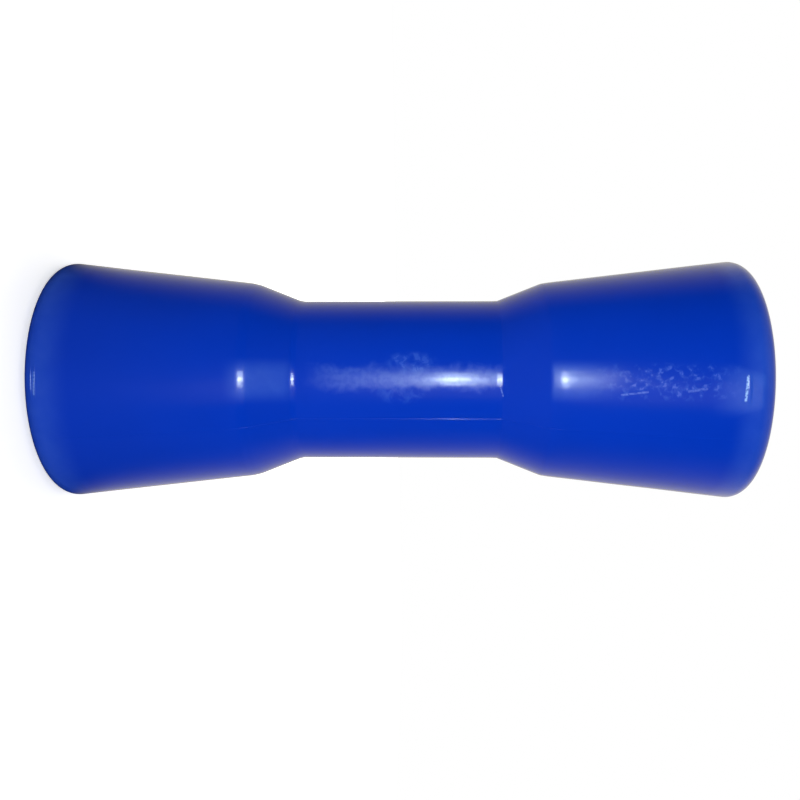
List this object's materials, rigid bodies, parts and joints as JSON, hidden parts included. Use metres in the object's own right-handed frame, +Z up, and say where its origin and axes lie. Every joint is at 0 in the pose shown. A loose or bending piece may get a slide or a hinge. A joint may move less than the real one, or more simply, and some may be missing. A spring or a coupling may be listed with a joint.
{
  "type": "boat trailer keel roller",
  "caption": "Long glossy blue moulded keel roller for a boat trailer: a straight waist between stepped flaring ends with rounded rims, and a pin hole through its length.",
  "frame": {"origin": "middle of the bottom end face, on which the roller stands", "axes": "+Z up along the roller's axis and its pin hole; the ridges of the mould's seam are on +Y and -Y"},
  "size_m": [0.104, 0.104, 0.3],
  "materials": {
    "blue_plastic": "gloss"
  },
  "bodies": {
    "root": {"keel_roller": "blue_plastic"}
  },
  "joints": []
}
